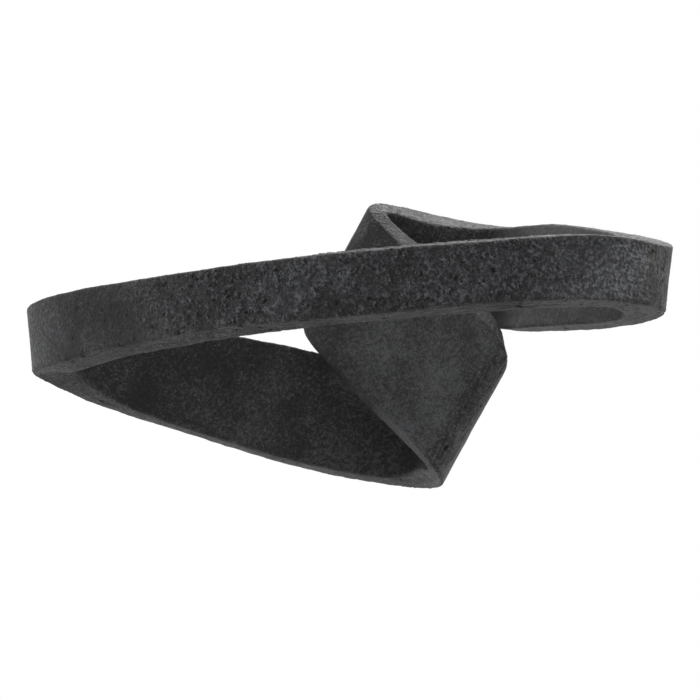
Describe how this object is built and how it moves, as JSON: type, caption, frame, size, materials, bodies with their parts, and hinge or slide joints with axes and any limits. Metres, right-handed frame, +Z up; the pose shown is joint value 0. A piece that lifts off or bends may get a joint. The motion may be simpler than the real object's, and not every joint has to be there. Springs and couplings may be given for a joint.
{
  "type": "metal knot sculpture",
  "caption": "Free-standing abstract knot: one broad metal band that closes on itself through end bends and crossed folds, cast dark and lightly hammered.",
  "frame": {"origin": "on the surface it stands on, below the middle of the knot's bounding box", "axes": "+X to the viewer's right along the front bar, +Y from the front bar back to the folds, +Z up"},
  "size_m": [0.423, 0.2516, 0.1812],
  "materials": {
    "cast_metal": "dark graphite patina on a lightly hammered and brushed casting",
    "weld_metal": "dressed flush and patinated with the castings",
    "pin_steel": "bright ground pin, hidden inside"
  },
  "bodies": {
    "root": {"front_bow": "cast_metal", "left_arm": "cast_metal", "cross_band": "cast_metal", "right_arm": "cast_metal", "weld_front_left": "weld_metal", "weld_cross_left": "weld_metal", "weld_cross_right": "weld_metal", "weld_front_right": "weld_metal", "locating_pins": "pin_steel"}
  },
  "joints": []
}
